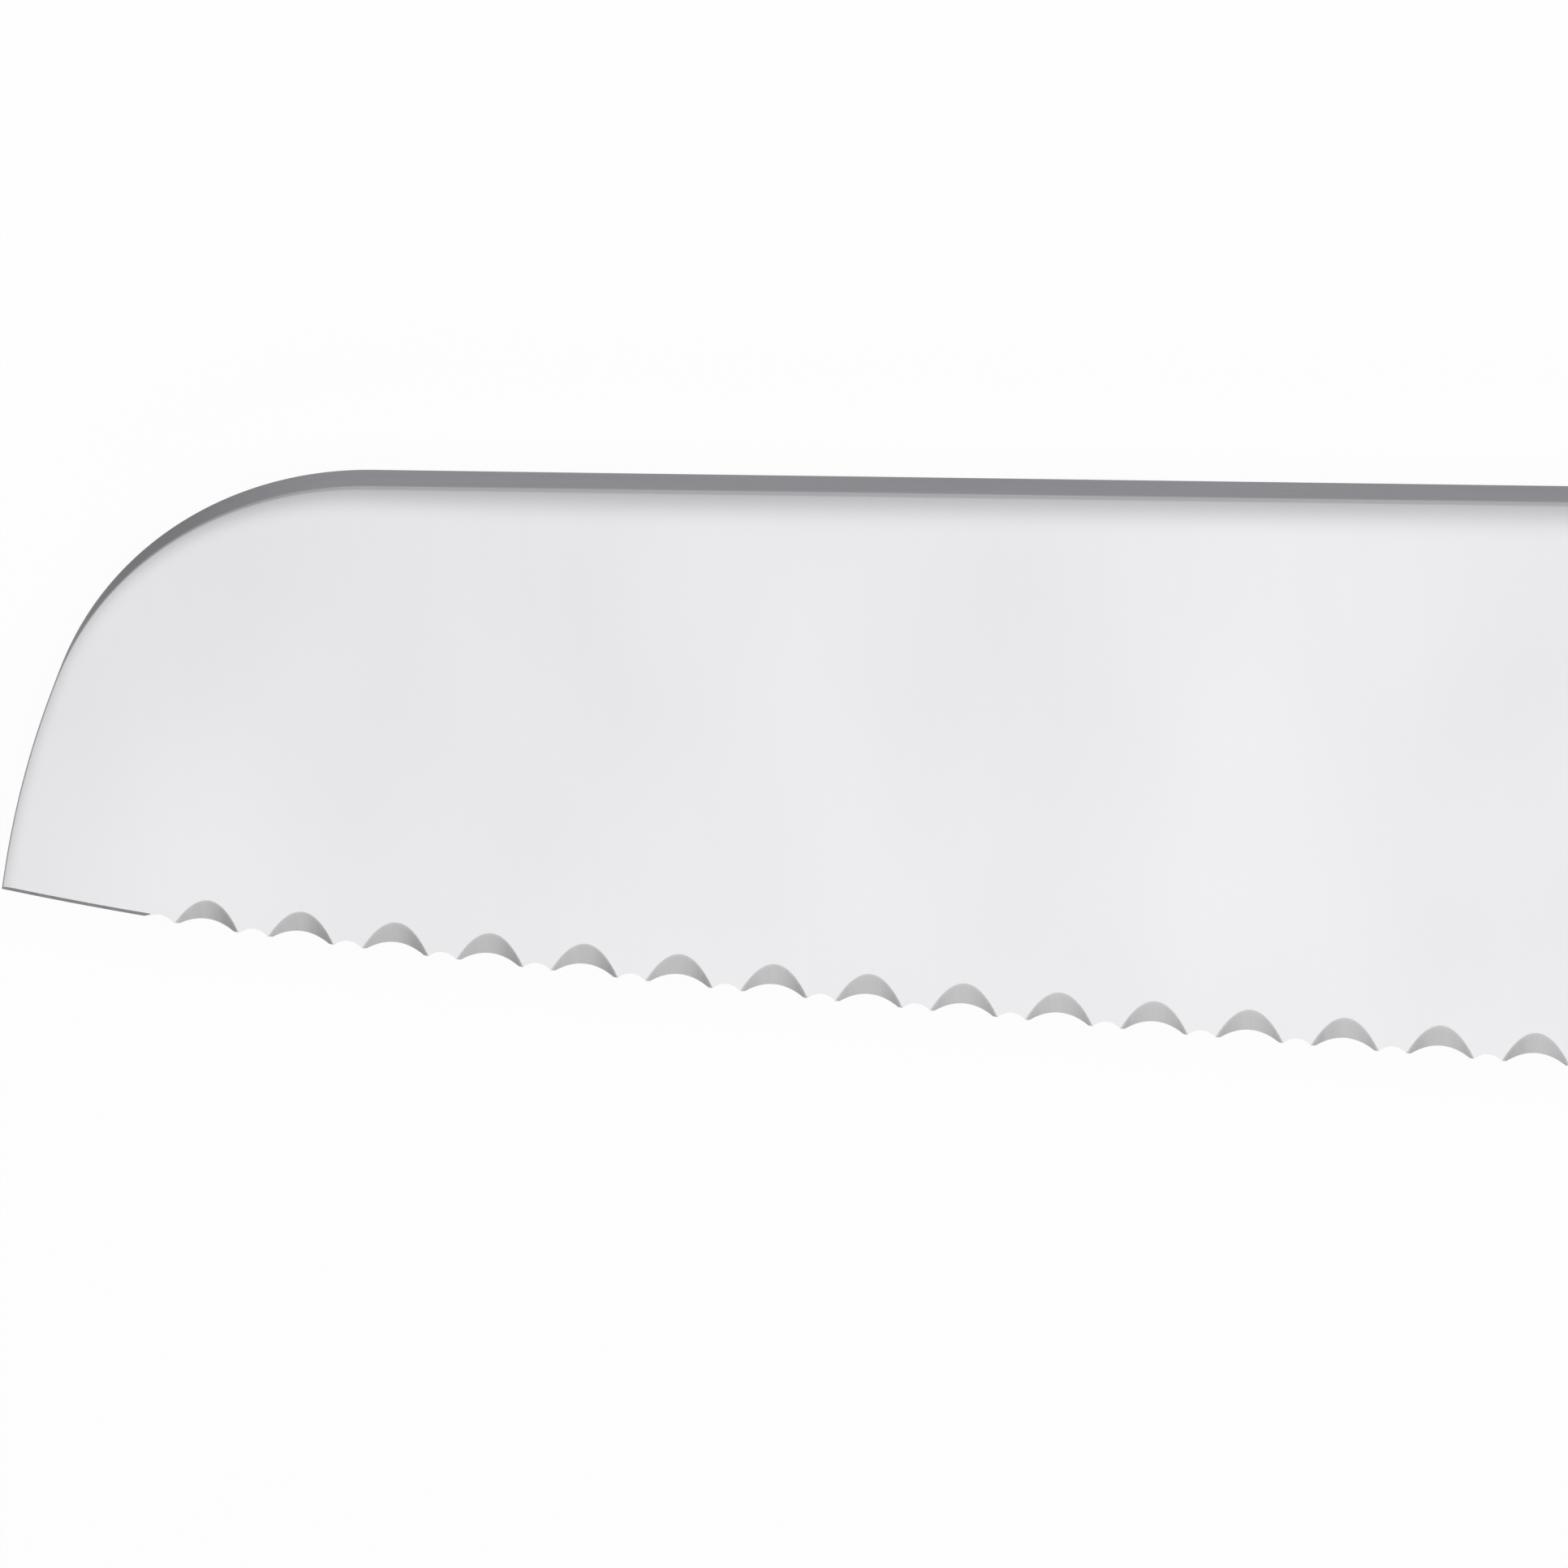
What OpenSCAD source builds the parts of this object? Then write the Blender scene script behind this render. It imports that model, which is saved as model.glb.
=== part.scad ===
// Bread knife with a deep serrated blade, a forged bolster and a riveted full tang handle.
// It lies on its side: +X runs from the tip to the butt, +Y is the spine side, +Z is up.
// The origin is under the centre of the whole knife, on the surface that it lies on.

/* [Blade] */
// From the tip to the front of the bolster, mm
blade_len = 200; // [192:1:240]
// Height of the blade from spine to edge at the heel, mm
blade_h = 40.8; // [38:0.1:44]
// Thickness of the steel along the spine and in the tang, mm
spine_t = 2.65; // [2:0.05:3]
// Thickness that the flat grind would leave at the lowest point of the edge, mm
ground_t = 0.5; // [0.4:0.05:0.8]

/* [Nose] */
// How far the tip lies below the spine, mm
tip_drop = 27.65; // [26:0.05:29]
// Lean of the nose line at the tip, degrees off square to the spine
nose_lean = 10.3; // [8:0.1:14]
// Radius of the lower part of the nose, mm
nose_r_low = 68.5; // [60:0.5:80]
// Radius of the upper part of the nose, where it runs into the spine, mm
nose_r_top = 21.5; // [18:0.5:24]
// Radius of the heel corner, mm
heel_r = 2.5; // [1.5:0.1:4]

/* [Edge] */
// Radius of the long belly of the edge, mm
belly_r = 1420; // [1300:10:1600]
// Distance from the tip to where the belly becomes parallel to the spine, mm
belly_end = 187; // [180:0.5:190]
// Distance from the tip to where the tip sweep runs into the belly, mm
sweep_end = 18.3; // [16:0.1:21]
// Thickness left at the very edge, mm
edge_t = 0.06; // [0.04:0.01:0.1]
// Angle of the edge bevel on the back of the blade, degrees
bevel_angle = 12; // [10:0.5:15]

/* [Serration] */
// Length along the edge of one wide and one narrow scallop, mm
tooth_pitch = 5.79; // [5.4:0.01:6.4]
// Plain edge between the tip and the first scallop, mm
plain_tip = 8.9; // [7:0.1:12]
// Share of the pitch that the wide scallop takes
wide_share = 0.7; // [0.6:0.005:0.75]
// Depth of a wide scallop in the edge line, mm
wide_notch = 0.62; // [0.5:0.01:0.7]
// Height of the ground arch of a wide scallop on the front face, mm
wide_arch = 2.0; // [1.8:0.05:2.3]
// Depth of a narrow scallop in the edge line, mm
narrow_notch = 0.4; // [0.3:0.01:0.5]
// Angle at which the narrow scallops are ground from the back, degrees
narrow_angle = 25; // [22:0.5:30]

/* [Handle] */
// Length of the bolster behind the blade, mm
bolster_len = 18; // [14:0.5:22]
// Length of the scales, mm
scale_len = 120; // [112:1:130]
// Height of the handle at the bolster, mm
handle_h = 27; // [24:0.5:30]
// Full thickness of the handle over both scales, mm
handle_t = 17; // [15:0.5:21]
// Width of the rounded long edges of the handle, mm
edge_round = 6.5; // [5:0.5:7.5]
// How far the handle lies below the line of the spine at the bolster, mm
back_drop = 0.6; // [0.2:0.1:2]
// How much the back of the handle falls from the bolster to the butt, mm
back_fall = 1.4; // [0.5:0.1:2.5]
// How much the underside rises from the bolster to the butt, before the butt swells, mm
low_rise = 1.5; // [0.5:0.1:2.5]
// How much the finger hollow cuts into the underside, mm
grip_in = 3.2; // [1:0.1:4.5]
// How far the heel of the hand swells back out at the butt, mm
butt_out = 2.4; // [1:0.1:3.5]
// Length over which the butt is rounded off, mm
butt_round = 11; // [8:0.5:14]
// Radius of the hollow that runs from the blade up to the bolster, mm
bolster_r = 10; // [9:0.5:12]

/* [Rivets] */
// Radius of a rivet head, mm
rivet_head_r = 3.8; // [3:0.1:4.5]
// Thickness of a rivet head, mm
rivet_head_t = 1.6; // [1.2:0.1:2]
// Outer radius of a rivet sleeve, mm
rivet_sleeve_r = 2.5; // [2.2:0.1:2.8]
// Radius of the solid pin inside a sleeve, mm
rivet_pin_r = 1.6; // [1.2:0.1:1.8]
// Clearance round a sleeve in the scales and the tang, mm
rivet_clear = 0.05; // [0.02:0.01:0.1]
// Place of the middle rivet, as a distance behind the bolster, mm
rivet_mid = 54; // [50:1:58]
// Distance from one rivet to the next, mm
rivet_step = 36; // [30:1:38]

/* [Hidden] */
$fn = 96;
far_fn = 1440;
cut = 60;

total_len = blade_len + bolster_len + scale_len;
handle_x = blade_len + bolster_len;
taper = atan((spine_t - ground_t) / 2 / blade_h);

// The nose is two arcs, tangent to each other, and the upper one is tangent to the spine.
nose_turn = asin((tip_drop - nose_r_top + nose_r_low * sin(nose_lean)) / (nose_r_low - nose_r_top));
nose_low_c = [nose_r_low * cos(nose_lean), -tip_drop - nose_r_low * sin(nose_lean)];
nose_top_c = nose_low_c + (nose_r_low - nose_r_top) * [-cos(nose_turn), sin(nose_turn)];

// The edge is a tip sweep, a long belly and a straight run parallel to the spine.
belly_c = [belly_end, belly_r - blade_h];
belly_lean = asin((belly_end - sweep_end) / belly_r);
sweep_join = belly_c + belly_r * [-sin(belly_lean), -cos(belly_lean)];
sweep_chord = [0, -tip_drop] - sweep_join;
sweep_off = sweep_chord[1] * cos(belly_lean) + sweep_chord[0] * sin(belly_lean);
sweep_r = (sweep_chord * sweep_chord) / (2 * sweep_off);
sweep_c = sweep_join + sweep_r * [sin(belly_lean), cos(belly_lean)];
tip_lean = asin(sweep_c[0] / sweep_r);
sweep_arc = (tip_lean - belly_lean) * PI / 180 * sweep_r;
belly_arc = belly_lean * PI / 180 * belly_r;

// Lean of the edge, and the point on it, at a distance along it from the tip.
function lean_at(s) = s < sweep_arc ? tip_lean - s / sweep_r * 180 / PI
    : s < sweep_arc + belly_arc ? belly_lean - (s - sweep_arc) / belly_r * 180 / PI
    : 0;
function edge_at(s) = s < sweep_arc ? sweep_c + sweep_r * [-sin(lean_at(s)), -cos(lean_at(s))]
    : s < sweep_arc + belly_arc ? belly_c + belly_r * [-sin(lean_at(s)), -cos(lean_at(s))]
    : [belly_end + s - sweep_arc - belly_arc, -blade_h];

teeth = floor((sweep_arc + belly_arc - plain_tip - 1) / tooth_pitch);
wide_w = tooth_pitch * wide_share;
narrow_w = tooth_pitch - wide_w;
// Slope of the wide scallops against the front face, from the arch, the notch and the bevel.
wide_angle = atan((edge_t + wide_notch * tan(bevel_angle)) / (wide_arch - wide_notch));
wide_r = (pow(wide_w / 2, 2)) / (2 * wide_arch) / sin(wide_angle);
narrow_r = (pow(narrow_w / 2, 2)) / (2 * narrow_notch) / sin(narrow_angle);

half_t = handle_t / 2;
half_s = spine_t / 2;
rivet_xs = [for (k = [-1:1]) handle_x + rivet_mid + k * rivet_step];

// Outline of the handle from the bolster to the butt, as a function of the share u of its length.
function wave(u) = (1 - cos(360 * u)) / 2;
function handle_top(u) = -back_drop - back_fall * u * u;
function handle_low(u) = -back_drop - handle_h + grip_in * wave(min(u / 0.62, 1)) * (u < 0.62 ? 1 : 0)
    + low_rise * (u - wave(u) * 0.4) - butt_out * pow(u, 4);
butt_steps = 8;
body_steps = 26;
butt_sweep = 74;
butt_u = 1 - butt_round / scale_len;
// Stations along the handle, each with its share of the length and how far the butt has closed.
stations = concat(
    [for (i = [0:body_steps]) [butt_u * i / body_steps, 1]],
    [for (i = [1:butt_steps]) let (a = butt_sweep * i / butt_steps)
        [butt_u + (1 - butt_u) * sin(a) / sin(butt_sweep), pow(cos(a), 0.7)]]);
function station_mid(s) = (handle_top(s[0]) + handle_low(s[0])) / 2;
function station_hy(s) = (handle_top(s[0]) - handle_low(s[0])) / 2 * s[1];
function station_hz(s) = half_s + (half_t - half_s) * (0.25 + 0.75 * s[1]);

arc_steps = 8;
// Half section of the handle: a flat side with rounded long edges, from the top edge to the bottom edge.
function half_section(hy, z0, hz, round_w) = concat(
    [for (i = [0:arc_steps]) let (a = 90 * i / arc_steps)
        [hy - round_w + round_w * cos(a), z0 + (hz - z0) * sin(a)]],
    [for (i = [arc_steps:-1:0]) let (a = 90 * i / arc_steps)
        [-hy + round_w - round_w * cos(a), z0 + (hz - z0) * sin(a)]]);

// Moves the working frame, spine line at the top and mid plane level, to the frame of the whole knife.
module placed() {
    translate([-total_len / 2, blade_h / 2, half_t]) children();
}

module sector(c, r, from, to) {
    mid = (from + to) / 2;
    polygon([c, c + r * [cos(from), sin(from)], c + 1.1 * r * [cos(mid), sin(mid)], c + r * [cos(to), sin(to)]]);
}

// Side outline of the blade in front of the bolster.
module blade_outline() {
    difference() {
        translate([0, -blade_h]) square([blade_len, blade_h]);
        difference() {
            sector(nose_low_c, nose_r_low + 12, 177 - nose_turn, 205);
            translate(nose_low_c) circle(r = nose_r_low, $fn = far_fn);
        }
        difference() {
            sector(nose_top_c, nose_r_top + 16, 90, 180 - nose_turn);
            translate(nose_top_c) circle(r = nose_r_top, $fn = far_fn);
        }
        difference() {
            translate([-1, -blade_h - 1]) square([sweep_join[0] + 1, blade_h - tip_drop + 2]);
            translate(sweep_c) circle(r = sweep_r, $fn = far_fn);
        }
        difference() {
            translate([sweep_join[0], -blade_h - 1]) square([belly_end - sweep_join[0], blade_h - tip_drop]);
            translate(belly_c) circle(r = belly_r, $fn = far_fn * 4);
        }
        difference() {
            translate([blade_len - heel_r, -blade_h - 1]) square([heel_r + 1, heel_r + 1]);
            translate([blade_len - heel_r, heel_r - blade_h]) circle(r = heel_r);
        }
    }
}

// Tilts its children with the ground face of one side: side is 1 for the front, -1 for the back.
module on_face(side) {
    translate([0, 0, side * half_s]) rotate([side * taper, 0, 0]) children();
}

// Flat grind from spine to edge on both sides.
module flat_grind() {
    for (side = [1, -1])
        on_face(side)
            translate([-10, -cut, side > 0 ? 0 : -cut]) cube([blade_len + 20, cut + 10, cut]);
}

// Points along the edge, one for each pitch of the belly, with a run past both ends.
edge_points = concat(
    [edge_at(0) - 12 * [cos(tip_lean), -sin(tip_lean)]],
    [for (i = [0:5]) edge_at(sweep_arc * i / 5)],
    [for (i = [1:teeth]) edge_at(sweep_arc + belly_arc * i / teeth)],
    [[blade_len + 12, -blade_h]]);

// The back bevel is the edge line pushed back into the blade at the bevel angle.
module within_bevel() {
    on_face(1)
        translate([0, 0, -edge_t])
            rotate([90 - bevel_angle, 0, 0])
                translate([0, 0, -cut])
                    linear_extrude(height = cut * 2)
                        polygon(concat([for (p = edge_points) [p[0], p[1] * sin(bevel_angle)]],
                                       [[blade_len + 12, cut], [-12, cut]]));
}

// Working frame of one scallop, on the front face: origin on the edge line, +Y into the blade.
module at_edge(s) {
    p = edge_at(s);
    on_face(1) translate([p[0], p[1], 0]) rotate([0, 0, -lean_at(s)]) children();
}

// Ground from the front: the arch shows on the face, and the notch is where it meets the back.
module wide_scallop(s) {
    at_edge(s)
        translate([0, wide_arch, 0])
            rotate([90 + wide_angle, 0, 0])
                translate([0, wide_r, -8]) cylinder(r = wide_r, h = 16);
}

// Ground from the back, steeper, so that the front face only shows a nick in its edge.
module narrow_scallop(s) {
    at_edge(s)
        translate([0, narrow_notch, 0])
            rotate([90 - narrow_angle, 0, 0])
                translate([0, -narrow_r, -6]) cylinder(r = narrow_r, h = 12);
}

module serration() {
    for (k = [0:teeth - 1]) {
        start = plain_tip + k * tooth_pitch;
        narrow_scallop(start + narrow_w / 2);
        wide_scallop(start + narrow_w + wide_w / 2);
    }
    narrow_scallop(plain_tip + teeth * tooth_pitch + narrow_w / 2);
}

module section_prism(x0, x1) {
    hy = station_hy(stations[0]);
    upper = half_section(hy, 0, half_t, edge_round);
    lower = [for (i = [len(upper) - 2:-1:1]) [upper[i][0], -upper[i][1]]];
    translate([x0, station_mid(stations[0]), 0])
        rotate([90, 0, 90]) linear_extrude(height = x1 - x0) polygon(concat(upper, lower));
}

// Bolster that grows out of the blade through a hollow on each side.
module bolster() {
    rise = half_t - half_s;
    reach = sqrt(bolster_r * bolster_r - pow(bolster_r - rise, 2));
    difference() {
        section_prism(blade_len - reach, handle_x);
        for (side = [1, -1])
            on_face(side)
                translate([blade_len - reach, -cut - 10, side * (bolster_r + 0.02)])
                    rotate([-90, 0, 0]) cylinder(r = bolster_r, h = cut + 20);
    }
}

module tang_outline() {
    first = stations[0];
    root_y = station_hy(first) - edge_round;
    top = [for (s = stations) [handle_x + s[0] * scale_len, station_mid(s) + station_hy(s)]];
    low = [for (i = [len(stations) - 1:-1:0]) let (s = stations[i])
        [handle_x + s[0] * scale_len, station_mid(s) - station_hy(s)]];
    polygon(concat(top, low));
    // Root of the tang, inside the bolster.
    translate([handle_x - bolster_len / 2, station_mid(first) - root_y]) square([bolster_len, 2 * root_y]);
}

module rivet_holes(r) {
    for (x = rivet_xs)
        translate([x, rivet_y, -half_t - 1]) cylinder(r = r, h = handle_t + 2);
}
rivet_y = station_mid([0.45, 1]);

module blade_body() {
    difference() {
        union() {
            difference() {
                intersection() {
                    difference() {
                        translate([0, 0, -half_s]) linear_extrude(height = spine_t) blade_outline();
                        flat_grind();
                    }
                    within_bevel();
                }
                serration();
            }
            bolster();
            difference() {
                translate([0, 0, -half_s]) linear_extrude(height = spine_t) tang_outline();
                rivet_holes(rivet_sleeve_r + rivet_clear);
            }
        }
    }
}

// One scale, lofted through the stations of the handle, on the +Z side of the tang.
module scale_body() {
    rows = [for (s = stations)
        [for (q = half_section(station_hy(s), half_s, station_hz(s), edge_round * (0.4 + 0.6 * s[1])))
            [handle_x + s[0] * scale_len, station_mid(s) + q[0], q[1]]]];
    n = len(rows[0]);
    m = len(rows);
    points = [for (row = rows) for (q = row) q];
    sides = [for (j = [0:m - 2]) for (i = [0:n - 1])
        let (a = j * n + i, b = j * n + (i + 1) % n)
            each [[a, b, b + n], [a, b + n, a + n]]];
    front = [[for (i = [n - 1:-1:0]) i]];
    back = [[for (i = [0:n - 1]) (m - 1) * n + i]];
    polyhedron(points = points, faces = concat(sides, front, back), convexity = 4);
}

module scale_with_holes() {
    difference() {
        scale_body();
        rivet_holes(rivet_sleeve_r + rivet_clear);
        for (x = rivet_xs)
            translate([x, rivet_y, half_t - rivet_head_t]) cylinder(r = rivet_head_r, h = rivet_head_t + 1);
    }
}

module rivet_sleeve(x) {
    translate([x, rivet_y, 0]) difference() {
        union() {
            translate([0, 0, -half_t]) cylinder(r = rivet_head_r, h = rivet_head_t);
            translate([0, 0, -half_t]) cylinder(r = rivet_sleeve_r, h = handle_t - rivet_head_t);
        }
        translate([0, 0, -half_t + rivet_head_t]) cylinder(r = rivet_pin_r, h = handle_t);
    }
}

module rivet_pin(x) {
    translate([x, rivet_y, 0]) {
        translate([0, 0, half_t - rivet_head_t]) cylinder(r = rivet_head_r, h = rivet_head_t);
        translate([0, 0, -half_t + rivet_head_t + 1]) cylinder(r = rivet_pin_r, h = handle_t - rivet_head_t - 2);
    }
}

module blade() { color("lightsteelblue") placed() blade_body(); }
module upper_scale() { color("dimgray") placed() scale_with_holes(); }
module lower_scale() { color("dimgray") placed() mirror([0, 0, 1]) scale_with_holes(); }
module front_rivet_sleeve() { color("silver") placed() rivet_sleeve(rivet_xs[0]); }
module middle_rivet_sleeve() { color("silver") placed() rivet_sleeve(rivet_xs[1]); }
module rear_rivet_sleeve() { color("silver") placed() rivet_sleeve(rivet_xs[2]); }
module front_rivet_pin() { color("silver") placed() rivet_pin(rivet_xs[0]); }
module middle_rivet_pin() { color("silver") placed() rivet_pin(rivet_xs[1]); }
module rear_rivet_pin() { color("silver") placed() rivet_pin(rivet_xs[2]); }

blade();
upper_scale();
lower_scale();
front_rivet_sleeve();
middle_rivet_sleeve();
rear_rivet_sleeve();
front_rivet_pin();
middle_rivet_pin();
rear_rivet_pin();
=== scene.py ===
"""A bread knife that lies on its side on a pale table, seen close up at the front of its blade.

Sizes are in millimetres on the knife's own axes: x runs from the tip to the butt, y is zero on the
line of the spine and falls towards the edge, z is zero in the middle of the steel.
"""

import logging
from collections.abc import Callable
from dataclasses import dataclass
from enum import Enum
from math import asin, atan, cos, degrees, floor, pi, radians, sin, sqrt, tan, tau

import bmesh
import bpy
from mathutils import Matrix, Vector


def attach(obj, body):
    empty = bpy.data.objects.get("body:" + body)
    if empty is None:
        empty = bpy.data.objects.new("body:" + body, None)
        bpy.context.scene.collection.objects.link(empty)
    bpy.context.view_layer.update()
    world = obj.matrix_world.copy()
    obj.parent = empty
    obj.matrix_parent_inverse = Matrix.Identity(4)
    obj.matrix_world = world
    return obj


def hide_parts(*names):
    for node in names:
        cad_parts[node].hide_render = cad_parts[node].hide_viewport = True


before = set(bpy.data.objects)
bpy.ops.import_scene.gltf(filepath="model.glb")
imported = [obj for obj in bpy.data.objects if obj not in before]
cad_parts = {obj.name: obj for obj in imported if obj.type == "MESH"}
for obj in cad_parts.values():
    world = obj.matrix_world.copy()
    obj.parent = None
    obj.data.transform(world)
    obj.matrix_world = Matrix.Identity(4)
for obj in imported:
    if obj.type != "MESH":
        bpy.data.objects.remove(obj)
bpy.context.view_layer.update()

LOG = logging.getLogger("bread_knife")
MM = 0.001
BODY = "root"
ORIGIN = (0.0, 0.0, 0.0)
MIRROR_Z = (1.0, 1.0, -1.0)
# Turn of a primitive that stands across the knife.
UPRIGHT = (0.0, radians(90), 0.0)
WHITE = (1.0, 1.0, 1.0, 1.0)
# Where the tip lies in the row's frame, in metres.
TIP_X = -0.169
# Where the painted shade of the steel is lifted in front of the bolster, in metres behind the tip.
PAINTED_SHADE_HEEL_FADE = (0.125, 0.2)
# The part of a noise's range that carries its pattern.
NOISE_RANGE = (0.3, 0.7)
# Slow clouds in the roughness of the steel: their stretch, in cycles per metre, and their strength.
CLOUD_GRAIN = (35.0, 22.0, 35.0)
CLOUD_ROUGH = 0.02
# Grain and worn patches of the plastic, in cycles per metre.
MOULD_GRAIN = (1800.0, 1800.0, 1800.0)
WORN_GRAIN = (30.0, 60.0, 60.0)
# Distances in millimetres below which points are merged or taken as equal.
MERGE_FINE = 0.0002
MERGE_CUT = 0.0004
MERGE_DRAWN = 0.0005
SAME_PLACE = 0.001
LEVEL = 0.00001
# Steps of the curves.
SPINE_STEPS = 12
NOSE_TOP_STEPS = 54
NOSE_LOW_STEPS = 36
SWEEP_STEPS = 20
BELLY_STEPS = 120
CORNER_STEPS = 10
SECTION_STEPS = 64
HOLLOW_STEPS = 128
LATHE_STEPS = 72
HANDLE_STEPS = 26
BUTT_STEPS = 8
# Angle in degrees above which an edge gets an eased rim.
RIM_ANGLE = 50.0
# How far in degrees the arc of a grinding bar runs on beyond the scallop, on either side.
ARC_OVER = 6.0
# Walls of the blade have a normal with a smaller upward part than this.
WALL_RISE = 0.62

Pair = tuple[float, float]
Triple = tuple[float, float, float]
Piece = bpy.types.Object
Tree = bpy.types.ShaderNodeTree
Socket = bpy.types.NodeSocket
Inputs = dict[str | int, Socket | float | tuple[float, ...]]


class Side(Enum):
    """The two broad sides of the knife as it lies."""

    FRONT = 1
    BACK = -1


class Layer(Enum):
    """Which rays see a studio lamp."""

    EVERYWHERE = "everywhere"
    DIFFUSE_ONLY = "diffuse_only"


# The knife


@dataclass(frozen=True)
class Station:
    """One section of the handle: its place along the knife, its middle height and its half sizes."""

    x: float
    mid: float
    half_y: float
    half_z: float


@dataclass
class KnifeSizes:
    """Sizes that the pieces share, in millimetres and degrees."""

    blade_len: float = 200.0
    blade_h: float = 40.8
    spine_t: float = 2.65
    ground_t: float = 0.5
    tip_drop: float = 27.65
    nose_lean: float = 10.3
    nose_r_low: float = 68.5
    nose_r_top: float = 21.5
    heel_r: float = 2.5
    belly_r: float = 1420.0
    belly_end: float = 187.0
    sweep_end: float = 18.3
    edge_t: float = 0.06
    bevel_angle: float = 12.0
    tooth_pitch: float = 5.79
    plain_tip: float = 8.9
    wide_share: float = 0.7
    wide_notch: float = 0.62
    wide_arch: float = 2.0
    narrow_notch: float = 0.4
    narrow_angle: float = 25.0
    bolster_len: float = 18.0
    bolster_r: float = 10.0
    scale_len: float = 120.0
    handle_h: float = 27.0
    handle_t: float = 17.0
    edge_round: float = 6.5
    grip_share: float = 0.62
    waist: float = 0.4
    butt_t_share: float = 0.25
    butt_sweep: float = 74.0
    butt_power: float = 0.7
    back_drop: float = 0.6
    back_fall: float = 1.4
    low_rise: float = 1.5
    grip_in: float = 3.2
    butt_out: float = 2.4
    butt_round: float = 11.0
    rivet_head_r: float = 3.8
    rivet_head_t: float = 1.6
    rivet_sleeve_r: float = 2.5
    rivet_pin_r: float = 1.6
    rivet_mid: float = 54.0
    rivet_step: float = 36.0
    rivet_share: float = 0.45

    @property
    def total(self) -> float:
        """Length of the whole knife."""
        return self.blade_len + self.bolster_len + self.scale_len

    @property
    def handle_x(self) -> float:
        """Distance from the tip to the scales."""
        return self.blade_len + self.bolster_len

    @property
    def half_s(self) -> float:
        """Half the thickness of the steel."""
        return self.spine_t / 2

    @property
    def half_t(self) -> float:
        """Half the thickness of the handle."""
        return self.handle_t / 2

    @property
    def taper(self) -> float:
        """Tilt of the ground faces."""
        return degrees(atan((self.spine_t - self.ground_t) / 2 / self.blade_h))

    @property
    def nose_turn(self) -> float:
        """Lean of the nose line where its two arcs meet."""
        lean = sin(radians(self.nose_lean))
        rise = self.tip_drop - self.nose_r_top + self.nose_r_low * lean
        return degrees(asin(rise / (self.nose_r_low - self.nose_r_top)))

    @property
    def nose_low_c(self) -> Pair:
        """Centre of the lower arc of the nose."""
        lean = radians(self.nose_lean)
        return self.nose_r_low * cos(lean), -self.tip_drop - self.nose_r_low * sin(lean)

    @property
    def nose_top_c(self) -> Pair:
        """Centre of the upper arc of the nose."""
        turn = radians(self.nose_turn)
        gap = self.nose_r_low - self.nose_r_top
        return self.nose_low_c[0] - gap * cos(turn), self.nose_low_c[1] + gap * sin(turn)

    @property
    def belly_c(self) -> Pair:
        """Centre of the belly."""
        return self.belly_end, self.belly_r - self.blade_h

    @property
    def belly_lean(self) -> float:
        """Lean of the edge where the belly meets the tip sweep."""
        return degrees(asin((self.belly_end - self.sweep_end) / self.belly_r))

    @property
    def sweep_r(self) -> float:
        """Radius of the tip sweep, which is tangent to the belly and ends at the tip."""
        lean = radians(self.belly_lean)
        join_x = self.belly_c[0] - self.belly_r * sin(lean)
        join_y = self.belly_c[1] - self.belly_r * cos(lean)
        chord = -join_x, -self.tip_drop - join_y
        off = chord[1] * cos(lean) + chord[0] * sin(lean)
        return (chord[0] ** 2 + chord[1] ** 2) / (2 * off)

    @property
    def sweep_c(self) -> Pair:
        """Centre of the tip sweep."""
        lean = radians(self.belly_lean)
        gap = self.belly_r - self.sweep_r
        return self.belly_c[0] - gap * sin(lean), self.belly_c[1] - gap * cos(lean)

    @property
    def tip_lean(self) -> float:
        """Lean of the edge at the tip."""
        return degrees(asin(self.sweep_c[0] / self.sweep_r))

    @property
    def sweep_arc(self) -> float:
        """Length of the tip sweep."""
        return radians(self.tip_lean - self.belly_lean) * self.sweep_r

    @property
    def belly_arc(self) -> float:
        """Length of the belly."""
        return radians(self.belly_lean) * self.belly_r

    @property
    def teeth(self) -> int:
        """How many pairs of scallops the edge takes."""
        return floor((self.sweep_arc + self.belly_arc - self.plain_tip - 1) / self.tooth_pitch)

    @property
    def wide_w(self) -> float:
        """Length of a wide scallop along the edge."""
        return self.tooth_pitch * self.wide_share

    @property
    def narrow_w(self) -> float:
        """Length of a narrow scallop along the edge."""
        return self.tooth_pitch - self.wide_w

    @property
    def wide_angle(self) -> float:
        """Slope of the wide scallops against the front face."""
        fall = self.edge_t + self.wide_notch * tan(radians(self.bevel_angle))
        return degrees(atan(fall / (self.wide_arch - self.wide_notch)))

    @property
    def wide_r(self) -> float:
        """Radius of the wheel that grinds the wide scallops."""
        return (self.wide_w / 2) ** 2 / (2 * self.wide_arch) / sin(radians(self.wide_angle))

    @property
    def narrow_r(self) -> float:
        """Radius of the wheel that grinds the narrow scallops."""
        return (self.narrow_w / 2) ** 2 / (2 * self.narrow_notch) / sin(radians(self.narrow_angle))

    @property
    def rivet_y(self) -> float:
        """Height of the row of rivets."""
        return self.station(self.rivet_share, 1.0).mid

    def lean_at(self, s: float) -> float:
        """Lean of the edge at a distance along it from the tip."""
        if s < self.sweep_arc:
            return self.tip_lean - degrees(s / self.sweep_r)
        if s < self.sweep_arc + self.belly_arc:
            return self.belly_lean - degrees((s - self.sweep_arc) / self.belly_r)
        return 0.0

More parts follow.
